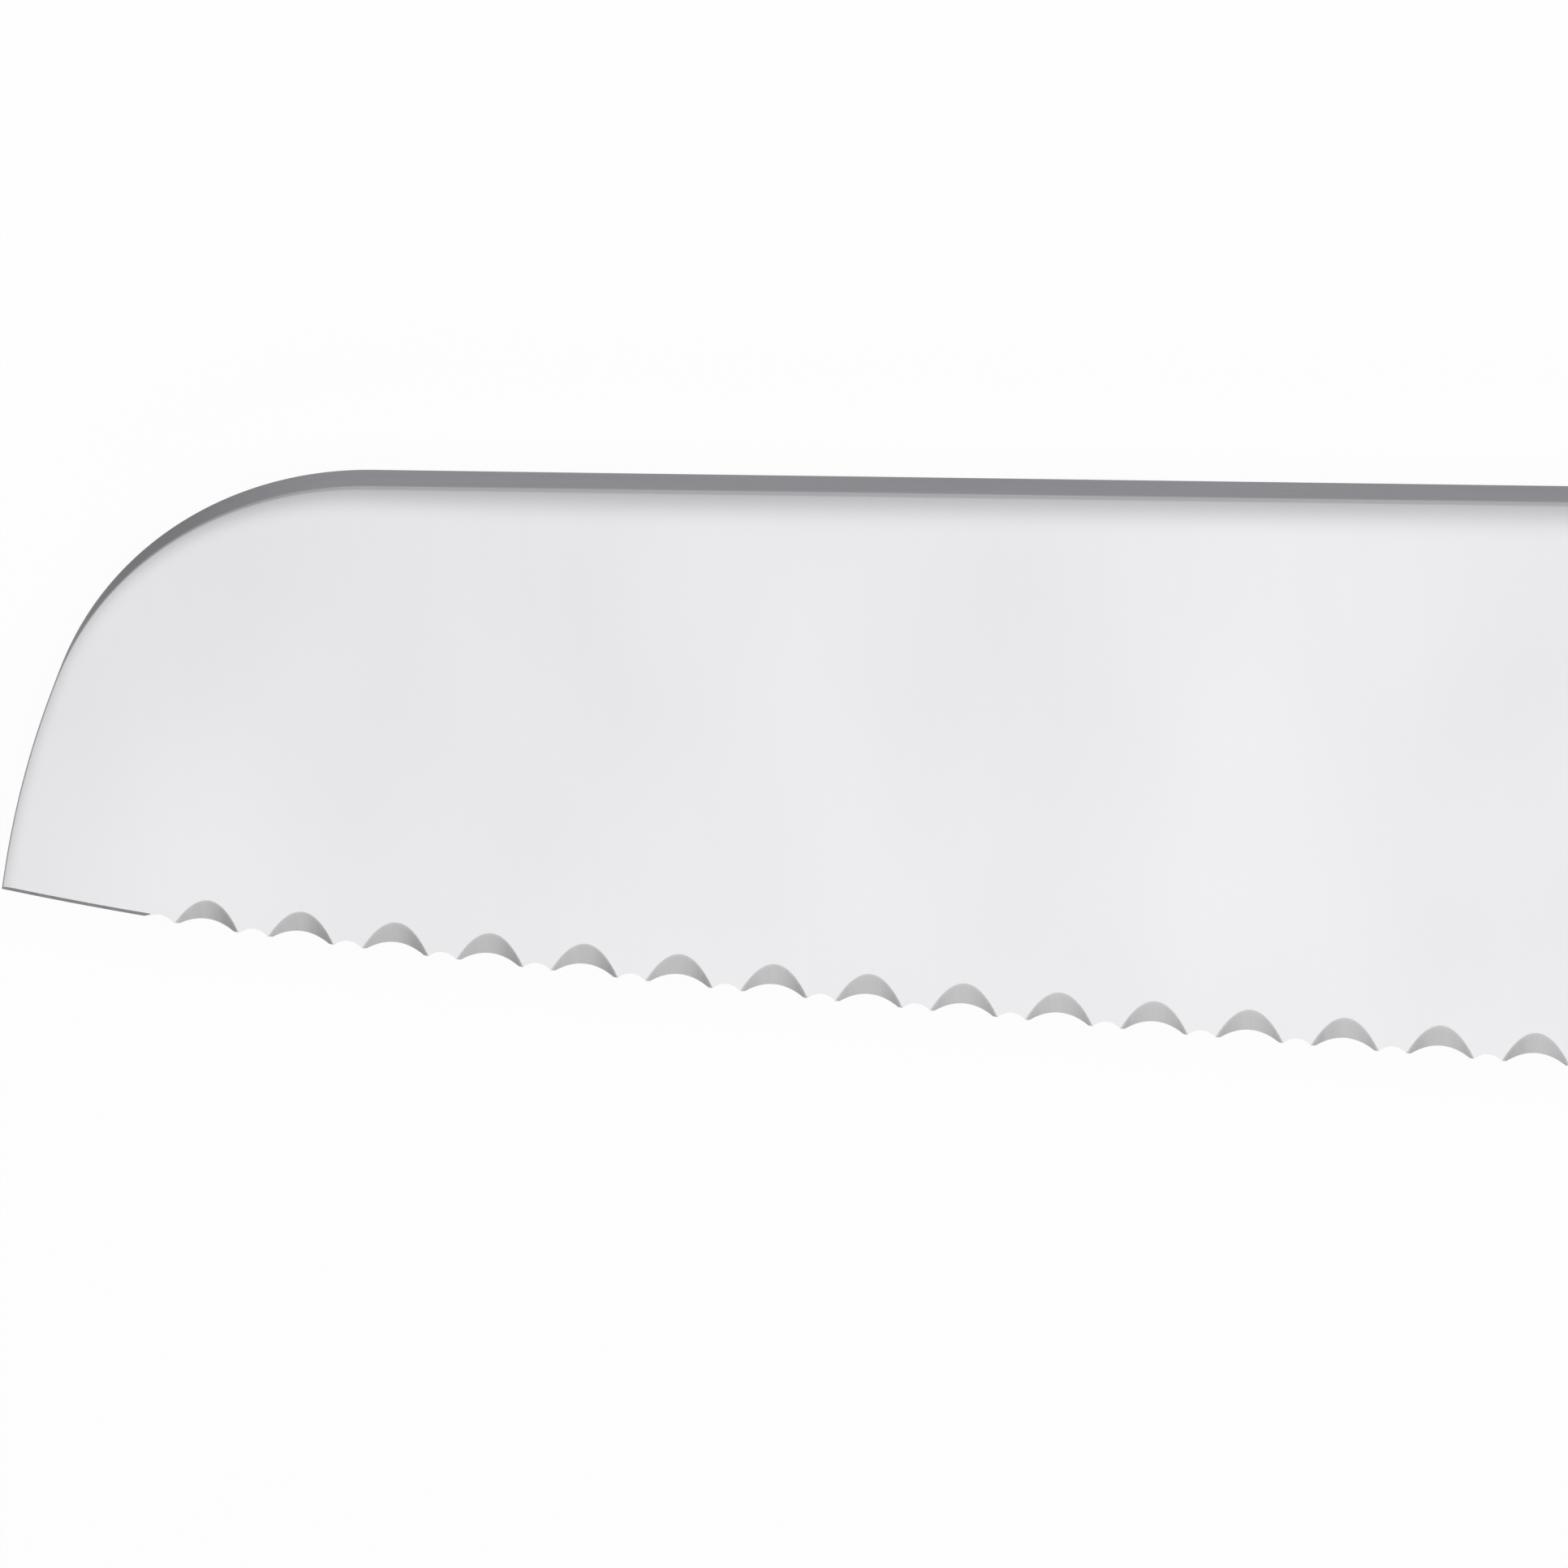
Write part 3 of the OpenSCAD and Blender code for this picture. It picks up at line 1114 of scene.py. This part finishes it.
    def wheel_bar(self, width: float, radius: float, shape: WheelBar) -> Piece:
        """Makes the grinding bar of a scallop, on its own axes.

        Args:
            width: Length of the scallop.
            radius: Radius of the wheel.
            shape: Shape of the bar.

        Returns:
            The bar.
        """
        turn = asin(width / 2 / radius) + radians(ARC_OVER)
        half, rise = radius * sin(turn), shape.side * radius * (1 - cos(turn))
        lift = shape.side * shape.lift
        piece = add_point((-half, rise, -shape.length / 2))
        sweep_about((0.0, shape.side * radius), shape.side * degrees(2 * turn), shape.steps)
        for step in ((0.0, lift, 0.0), (-2 * half, 0.0, 0.0), (0.0, -lift, 0.0)):
            extrude_by(step)
        select_all()
        bpy.ops.mesh.remove_doubles(threshold=MERGE_DRAWN)
        bpy.ops.mesh.edge_face_add()
        extrude_by((0.0, 0.0, shape.length))
        close_up()
        return piece

    def set_at_edge(self, wheel: Piece, along: float, inward: float, tilt: float) -> None:
        """Sets a grinding bar against the edge.

        Args:
            wheel: The bar.
            along: Distance along the edge from the tip.
            inward: How far the bar starts inside the edge line.
            tilt: Turn of the bar about the edge.
        """
        s = self.sizes
        place = s.face() @ Matrix.Translation((*s.edge_at(along), 0.0))
        place = place @ Matrix.Rotation(radians(-s.lean_at(along)), 4, "Z")
        place = place @ Matrix.Translation((0.0, inward, 0.0)) @ Matrix.Rotation(radians(tilt), 4, "X")
        wheel.matrix_world = place

    def wheels(self, kind: Wheel) -> Piece:
        """Makes all the grinding bars of one kind, joined.

        Args:
            kind: Which wheel grinds.

        Returns:
            The joined bars.
        """
        s = self.sizes
        middle, inward, tilt = s.narrow_w + s.wide_w / 2, s.wide_arch, s.wide_angle
        if kind is Wheel.RIM:
            inward, tilt = s.wide_arch + self.soft_w / 2, s.wide_angle / 2
        if kind is Wheel.NARROW:
            middle, inward, tilt = s.narrow_w / 2, s.narrow_notch, -s.narrow_angle
            first = self.wheel_bar(s.narrow_w, s.narrow_r, NARROW_BAR)
        else:
            radius = s.wide_r * sin(radians(s.wide_angle)) / sin(radians(tilt))
            first = self.wheel_bar(s.wide_w, radius, WIDE_BAR)
        count = s.teeth + 1 if kind is Wheel.NARROW else s.teeth
        starts = [s.plain_tip + k * s.tooth_pitch for k in range(count)]
        bars = [first]
        for _ in starts[1:]:
            bar = first.copy()
            bar.data = first.data.copy()
            bpy.context.scene.collection.objects.link(bar)
            bars.append(bar)
        ease = 0.0 if kind is Wheel.NARROW else self.tip_ease
        for place, (bar, start) in enumerate(zip(bars, starts)):
            self.set_at_edge(bar, start + middle, inward - ease / 2**place, 90 + tilt)
        return join(bars)

    def line_to_tip(self, bar: BevelBar, height: float) -> Piece:
        """Draws a line that reaches the tip in the direction that the edge has there.

        Args:
            bar: The bar that starts with it.
            height: Its height against the front face.

        Returns:
            The line, in edit mode with its end at the tip selected.
        """
        s = self.sizes
        run = bar.before * cos(radians(s.tip_lean))
        fall = bar.before * sin(radians(s.tip_lean))
        piece = add_point((-run, -s.tip_drop + fall, height))
        extrude_by((run, -fall, 0.0))
        return piece

    def widen_to_bar(self, piece: Piece, bar: BevelBar, inward: float, angle: float) -> Piece:
        """Widens a drawn line to a sloping face and thickens that to a bar.

        Args:
            piece: The line, in edit mode.
            bar: Sizes of the bar.
            inward: How far inside the line the slope meets its height.
            angle: Angle of the slope.

        Returns:
            The bar, against the front face.
        """
        across, up = cos(radians(angle)), sin(radians(angle))
        select_all()
        move_by((0.0, inward + bar.start * across, bar.start * up))
        extrude_by((0.0, bar.width * across, bar.width * up))
        select_all()
        extrude_by((0.0, 0.0, bar.thick))
        close_up()
        piece.matrix_world = self.sizes.face()
        return piece

    def back_bevel(self) -> Piece:
        """Makes the bar that grinds the long bevel of the edge from the back.

        Returns:
            The bar.
        """
        s = self.sizes
        piece = self.line_to_tip(BACK_BAR, -s.edge_t)
        self.draw_edge()
        extrude_by((s.heel_r + BACK_BAR.before, 0.0, 0.0))
        return self.widen_to_bar(piece, BACK_BAR, 0.0, -s.bevel_angle)

    def honed_bevel(self) -> Piece:
        """Makes the bar that hones the front of the plain edge behind the tip.

        Returns:
            The bar.
        """
        s = self.sizes
        piece = self.line_to_tip(HONED_BAR, 0.0)
        sweep_about(s.sweep_c, degrees((s.plain_tip + self.honed_over) / s.sweep_r), CORNER_STEPS)
        return self.widen_to_bar(piece, HONED_BAR, self.honed_w, self.honed_angle)

    def dress(self, piece: Piece) -> None:
        """Gives the walls of the blade the spine's steel, whose dark colour is painted shade.

        Args:
            piece: The ground blade.
        """
        for face in piece.data.polygons:
            if face.material_index == Zone.FACE.value and abs(face.normal.z) < WALL_RISE:
                face.material_index = Zone.SPINE.value

    def build(self) -> Piece:
        """Builds the blade.

        Returns:
            The finished blade.
        """
        finishes = [finish.build() for finish in (FACE_STEEL, SPINE_STEEL_PAINTED_DARK, SCALLOP_STEEL, HONED_STEEL_PAINTED_DARK)]
        piece = self.blank()
        piece.name = "blade_steel"
        set_finish(piece, finishes, Zone.FACE.value)
        for cutter, zone in (
            (self.back_bevel(), Zone.SCALLOP),
            (self.honed_bevel(), Zone.HONED),
            (self.wheels(Wheel.RIM), Zone.SCALLOP),
            (self.wheels(Wheel.WIDE), Zone.SCALLOP),
            (self.wheels(Wheel.NARROW), Zone.SCALLOP),
        ):
            set_finish(cutter, finishes, zone.value)
            cut_away(piece, cutter)
        self.dress(piece)
        smooth(piece, self.crisp)
        self.sizes.seat(piece)
        return piece


@dataclass
class BolsterAndTang:
    """The forged bolster and the flat tang between the scales.

    Attributes:
        sizes: Sizes of the knife.
        rim: Width of the bolster's rounded rims.
        tang_rim: Width of the tang's eased rims.
        tang_in: How far the tang reaches into the bolster.
        hollow_bar_y: Where the bar that hollows a side ends beyond the spine.
        hollow_bar_len: Length of that bar.
        hollow_gap: How far its hollow runs on into the face of the blade.
        crisp: Angle above which an edge stays crisp.
    """

    sizes: KnifeSizes
    rim: float = 0.3
    tang_rim: float = 0.15
    tang_in: float = 1.0
    hollow_bar_y: float = 10.0
    hollow_bar_len: float = 70.0
    hollow_gap: float = 0.02
    crisp: float = 32.0

    def bolster(self) -> Piece:
        """Makes the bolster with the hollow that runs up from each face of the blade.

        Returns:
            The bolster.
        """
        s = self.sizes
        rise = s.half_t - s.half_s
        reach = sqrt(s.bolster_r**2 - (s.bolster_r - rise) ** 2)
        first = s.station(0.0, 1.0)
        start = Station(s.blade_len - reach, first.mid, first.half_y, s.half_t)
        piece = draw_section(start, s.edge_round, 0.0, whole=True)
        extrude_by((reach + s.bolster_len, 0.0, 0.0))
        close_up()
        for side in Side:
            cut_away(piece, self.hollow_bar(side, reach))
        open_piece(piece)
        select_where(piece, "VERT", lambda v: abs(v.co.x - s.handle_x) < SAME_PLACE)
        bpy.ops.mesh.bevel(offset=self.rim, segments=3, affect="EDGES")
        to_object_mode()
        return piece

    def hollow_bar(self, side: Side, reach: float) -> Piece:
        """Makes the round bar that hollows one side of the bolster.

        Args:
            side: The side of the knife.
            reach: Length of the hollow.

        Returns:
            The bar.
        """
        s = self.sizes
        clear_selection()
        bpy.ops.mesh.primitive_circle_add(
            vertices=HOLLOW_STEPS, radius=s.bolster_r, fill_type="NGON", rotation=(radians(90), 0.0, 0.0)
        )
        piece = open_in_place()
        move_by((s.blade_len - reach, self.hollow_bar_y, s.bolster_r - self.hollow_gap))
        extrude_by((0.0, -self.hollow_bar_len, 0.0))
        close_up()
        tilt = Matrix.Rotation(radians(s.taper * side.value), 4, "X")
        flip = Matrix.Scale(side.value, 4, (0.0, 0.0, 1.0))
        piece.matrix_world = Matrix.Translation((0.0, 0.0, s.half_s * side.value)) @ tilt @ flip
        make_active(piece)
        open_in_place()
        close_up()
        return piece

    def tang(self) -> Piece:
        """Makes the tang, which follows the outline of the scales.

        Returns:
            The tang.
        """
        s = self.sizes
        row = s.stations()
        clear_selection()
        bpy.ops.mesh.primitive_plane_add(
            size=2.0, location=(s.handle_x - self.tang_in, row[0].mid, 0.0), rotation=UPRIGHT
        )
        piece = open_in_place()
        scale_by((1.0, row[0].half_y, s.half_s), (0.0, row[0].mid, 0.0))
        extrude_by((self.tang_in, 0.0, 0.0))
        loft_through([Station(p.x, p.mid, p.half_y, s.half_s) for p in row], 0.0)
        close_up()
        ease_rims(piece, self.tang_rim, 2)
        return piece

    def build(self) -> Piece:
        """Builds the bolster and the tang.

        Returns:
            The finished piece.
        """
        piece = join([self.bolster(), self.tang()])
        piece.name = "bolster_and_tang"
        set_finish(piece, [BOLSTER_STEEL.build()], 0)
        smooth(piece, self.crisp)
        self.sizes.seat(piece)
        return piece


@dataclass
class Scale:
    """One moulded scale of the handle.

    Attributes:
        sizes: Sizes of the knife.
        side: The side that it lies on.
        rim: Width of the eased rims.
        bore_gap: Clearance round the sleeve of a rivet.
        head_gap: Clearance round its head.
        beyond: How far a core reaches beyond the scale.
        crisp: Angle above which an edge stays crisp.
    """

    sizes: KnifeSizes
    side: Side
    rim: float = 0.3
    bore_gap: float = 0.05
    head_gap: float = 0.04
    beyond: float = 1.0
    crisp: float = 35.0

    def rivet_bore(self, x: float) -> Piece:
        """Makes the stepped core of one rivet hole.

        Args:
            x: Place of the rivet.

        Returns:
            The core.
        """
        s = self.sizes
        bore, head = s.rivet_sleeve_r + self.bore_gap, s.rivet_head_r + self.head_gap
        low, high = s.half_t - s.rivet_head_t + self.beyond, s.rivet_head_t + self.beyond
        steps = [(bore, 0.0), (0.0, low), (head - bore, 0.0), (0.0, high), (-head, 0.0)]
        return turn_profile((x, s.rivet_y, -self.beyond), steps)

    def build(self) -> Piece:
        """Builds the scale.

        Returns:
            The finished scale.
        """
        s = self.sizes
        row = s.stations()
        piece = draw_section(row[0], s.edge_round, s.half_s, whole=False)
        loft_through(row, s.half_s)
        close_up()
        ease_rims(piece, self.rim, 3)
        cut_away(piece, join([self.rivet_bore(x) for x in rivet_places(s)]))
        piece.name = "upper_scale_moulding" if self.side is Side.FRONT else "lower_scale_moulding"
        if self.side is Side.BACK:
            open_piece(piece)
            scale_by(MIRROR_Z, ORIGIN)
            close_up()
        set_finish(piece, [SCALE_PLASTIC.build()], 0)
        smooth(piece, self.crisp)
        s.seat(piece)
        return piece


@dataclass
class Rivet:
    """One cutler's rivet: a sleeve pushed in from below and a pin from above.

    Attributes:
        sizes: Sizes of the knife.
        x: Place along the knife.
        name: Which of the three it is.
        ease: Width of the chamfer round a head.
        gap: Clearance of the pin in the sleeve.
        short: How far the pin ends above the head of the sleeve.
        crisp: Angle above which an edge stays crisp.
    """

    sizes: KnifeSizes
    x: float
    name: str
    ease: float = 0.14
    gap: float = 0.02
    short: float = 1.0
    crisp: float = 30.0

    def sleeve(self) -> Piece:
        """Turns the sleeve.

        Returns:
            The sleeve.
        """
        s = self.sizes
        shank = s.handle_t - 2 * s.rivet_head_t
        steps = [
            (s.rivet_head_r - self.ease, 0.0),
            (self.ease, self.ease),
            (0.0, s.rivet_head_t - self.ease),
            (s.rivet_sleeve_r - s.rivet_head_r, 0.0),
            (0.0, shank),
            (s.rivet_pin_r - s.rivet_sleeve_r, 0.0),
            (0.0, -shank),
            (-s.rivet_pin_r, 0.0),
        ]
        piece = turn_profile((self.x, s.rivet_y, -s.half_t), steps)
        piece.name = f"{self.name}_rivet_sleeve_turned"
        return piece

    def pin(self) -> Piece:
        """Turns the pin.

        Returns:
            The pin.
        """
        s = self.sizes
        steps = [
            (s.rivet_head_r - self.ease, 0.0),
            (self.ease, -self.ease),
            (0.0, self.ease - s.rivet_head_t),
            (s.rivet_pin_r - self.gap - s.rivet_head_r, 0.0),
            (0.0, 2 * s.rivet_head_t + self.short - s.handle_t),
            (self.gap - s.rivet_pin_r, 0.0),
        ]
        piece = turn_profile((self.x, s.rivet_y, s.half_t), steps)
        piece.name = f"{self.name}_rivet_pin_turned"
        return piece

    def build(self, finish: bpy.types.Material) -> list[Piece]:
        """Builds both parts.

        Args:
            finish: The steel of the rivets.

        Returns:
            The sleeve and the pin.
        """
        parts = [self.sleeve(), self.pin()]
        for part in parts:
            set_finish(part, [finish], 0)
            smooth(part, self.crisp)
            self.sizes.seat(part)
        return parts


def rivet_places(sizes: KnifeSizes) -> list[float]:
    """Places of the rivets along the knife, from the front."""
    return [sizes.handle_x + sizes.rivet_mid + k * sizes.rivet_step for k in (-1, 0, 1)]


# Studio


@dataclass
class Studio:
    """Camera, table top and lamps.

    Attributes:
        sizes: Sizes of the knife.
        aim: Point of the front face that the camera looks at, on the knife's axes.
        above: Angle of the camera off the face, towards the spine.
        beside: Angle of the camera off the face, towards the handle.
        roll: Roll of the camera.
        lens: Focal length.
        sensor: Width of the sensor.
        clip: Nearest and farthest distance that the camera sees, in metres.
        reach: Distance of the camera, in millimetres.
        sky_low: Strength of the sky on the side that the tip points to.
        sky_high: Strength of the sky everywhere else.
        sky_turn: Where the sky changes, as the x part of a direction.
        table_w: Width of the table top, in metres.
        table_white: Its reflectance.
        table_glow: Share of plain white in it where it is seen or mirrored.
        strip_turn: Turn of the face strip off the mirrored view, about the face's y and x axes.
        scallop_way: Direction from the blade to the scallop glow, on the face's axes.
    """

    sizes: KnifeSizes
    aim: Pair = (48.311, -19.54)
    above: float = 27.0
    beside: float = 9.0
    roll: float = -3.2218
    lens: float = 500.0
    sensor: float = 36.0
    clip: Pair = (0.05, 50.0)
    reach: float = 1309.47
    sky_low: float = 0.32
    sky_high: float = 0.47
    sky_turn: Pair = (-0.8, -0.1)
    table_w: float = 6.0
    table_white: float = 0.97
    table_glow: float = 0.93
    strip_turn: Pair = (8.0, 0.8)
    scallop_way: Triple = (-0.12, -0.755, 0.655)

    def face_frame(self) -> Matrix:
        """Frame of the front face, as in KnifeSizes.face, but in metres in the row's frame."""
        return self.sizes.row_frame() @ self.sizes.face()

    def looking(self) -> tuple[Vector, Vector, Vector]:
        """Right, up and back of the camera in the frame of the face."""
        e, a, r = (radians(v) for v in (self.above, self.beside, self.roll))
        back = Vector((sin(a) * cos(e), sin(e), cos(a) * cos(e)))
        side = Vector((cos(a), 0.0, -sin(a)))
        up = back.cross(side)
        return side * cos(r) + up * sin(r), up * cos(r) - side * sin(r), back

    def add_camera(self) -> None:
        """Adds the camera at the photograph's viewing angle."""
        data = bpy.data.cameras.new("camera")
        data.lens = self.lens
        data.sensor_width = self.sensor
        data.clip_start, data.clip_end = self.clip
        camera = bpy.data.objects.new("camera", data)
        bpy.context.scene.collection.objects.link(camera)
        face = self.face_frame()
        turn = face.to_3x3().normalized()
        right, up, back = (turn @ v for v in self.looking())
        place = face @ (Vector((*self.aim, 0.0)) + self.looking()[2] * self.reach)
        rotation = Matrix((right, up, back)).transposed().to_4x4()
        camera.matrix_world = Matrix.Translation(place) @ rotation
        bpy.context.scene.camera = camera

    def add_table(self) -> None:
        """Adds the plain pale table top."""
        clear_selection()
        bpy.ops.mesh.primitive_plane_add(size=self.table_w, location=ORIGIN)
        table = bpy.context.object
        table.name = "table_top"
        table.data.materials.append(self.pale_table())

    def pale_table(self) -> bpy.types.Material:
        """Makes the white of the table top, which keeps a faint shadow where it is seen or mirrored.

        Returns:
            The material.
        """
        material, tree, shader = new_material("pale_table")
        white = (self.table_white, self.table_white, self.table_white, 1.0)
        fill(tree, shader, {"Base Color": white, "Roughness": 0.9, "Specular IOR Level": 0.0})
        glow = add_node(tree, "Emission", {"Color": WHITE}).outputs["Emission"]
        rays = add_node(tree, "LightPath").outputs
        mirrored = combine(tree, "MAXIMUM", rays["Is Glossy Ray"], rays["Is Transmission Ray"])
        seen = combine(tree, "MAXIMUM", rays["Is Camera Ray"], mirrored)
        share = combine(tree, "MULTIPLY", seen, self.table_glow)
        mix = add_node(tree, "MixShader", {0: share, 1: shader.outputs["BSDF"], 2: glow})
        out = next(node for node in tree.nodes if node.type == "OUTPUT_MATERIAL")
        fill(tree, out, {"Surface": mix.outputs["Shader"]})
        return material

    def add_lamp(self, name: str, towards: Vector, far: float, size: Pair, glow: float, layer: Layer) -> None:
        """Adds a soft box that looks at the blade.

        Args:
            name: Name of the lamp.
            towards: Direction from the blade to the lamp.
            far: Distance in metres.
            size: Width across and height along the direction of tilt, in metres.
            glow: Radiance of the box, where 1 shows as white.
            layer: Which rays see the lamp.
        """
        data = bpy.data.lights.new(name, "AREA")
        data.shape = "RECTANGLE"
        data.size, data.size_y = size
        data.energy = pi * glow * size[0] * size[1]
        lamp = bpy.data.objects.new(name, data)
        bpy.context.scene.collection.objects.link(lamp)
        aim = self.face_frame() @ Vector((*self.aim, 0.0))
        back = towards.normalized()
        side = Vector((1.0, 0.0, 0.0))
        side = (side - back * side.dot(back)).normalized()
        up = back.cross(side)
        rotation = Matrix((side, up, back)).transposed().to_4x4()
        lamp.matrix_world = Matrix.Translation(aim + back * far) @ rotation
        lamp.visible_camera = False
        lamp.visible_glossy = layer is Layer.EVERYWHERE

    def sky(self) -> bpy.types.World:
        """Makes the white sky, which is darker on the side that the tip points to.

        Returns:
            The sky.
        """
        world = bpy.data.worlds.new("studio_sky")
        world.use_nodes = True
        tree = world.node_tree
        x = along_x(tree, "Generated")
        glow = spread(tree, x, (self.sky_low, self.sky_high), self.sky_turn, "SMOOTHSTEP")
        fill(tree, tree.nodes["Background"], {"Strength": glow, "Color": WHITE})
        return world

    def light(self) -> None:
        """Adds the sky and the lamps."""
        bpy.context.scene.world = self.sky()
        bpy.context.scene.view_settings.view_transform = "Standard"
        turn = self.face_frame().to_3x3().normalized()
        view = turn @ self.looking()[2]
        normal = turn @ Vector((0.0, 0.0, 1.0))
        mirrored = normal * (2 * normal.dot(view)) - view
        about_y, about_x = (radians(angle) for angle in self.strip_turn)
        shift = Matrix.Rotation(about_y, 3, "Y") @ Matrix.Rotation(about_x, 3, "X")
        strip = turn @ shift @ turn.inverted() @ mirrored
        scallop = turn @ Vector(self.scallop_way)
        every, diffuse = Layer.EVERYWHERE, Layer.DIFFUSE_ONLY
        self.add_lamp("face_strip", strip, far=0.7, size=(0.56, 0.22), glow=0.815, layer=every)
        self.add_lamp("scallop_glow", scallop, far=0.35, size=(0.2, 0.12), glow=0.22, layer=every)
        self.add_lamp("table_fill", view, far=0.9, size=(0.6, 0.6), glow=3.4, layer=diffuse)


def report(piece: Piece, nodes: list[str]) -> None:
    """Sets a finished piece on the knife, and logs it.

    Args:
        piece: The finished piece.
        nodes: The nodes of the frame that it stands for.
    """
    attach(piece, BODY)
    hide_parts(*nodes)
    LOG.info("%s: %d faces", piece.name, len(piece.data.polygons))


def main() -> None:
    """Builds the knife and its studio."""
    logging.basicConfig(level=logging.INFO, format="%(message)s")
    sizes = KnifeSizes()
    studio = Studio(sizes)
    studio.add_camera()
    studio.add_table()
    studio.light()
    report(Blade(sizes).build(), ["blade"])
    report(BolsterAndTang(sizes).build(), ["blade"])
    report(Scale(sizes, Side.FRONT).build(), ["upper_scale"])
    report(Scale(sizes, Side.BACK).build(), ["lower_scale"])
    steel = RIVET_STEEL.build()
    for name, x in zip(("front", "middle", "rear"), rivet_places(sizes)):
        sleeve, pin = Rivet(sizes, x, name).build(steel)
        report(sleeve, [f"{name}_rivet_sleeve"])
        report(pin, [f"{name}_rivet_pin"])


if __name__ == "__main__":
    main()
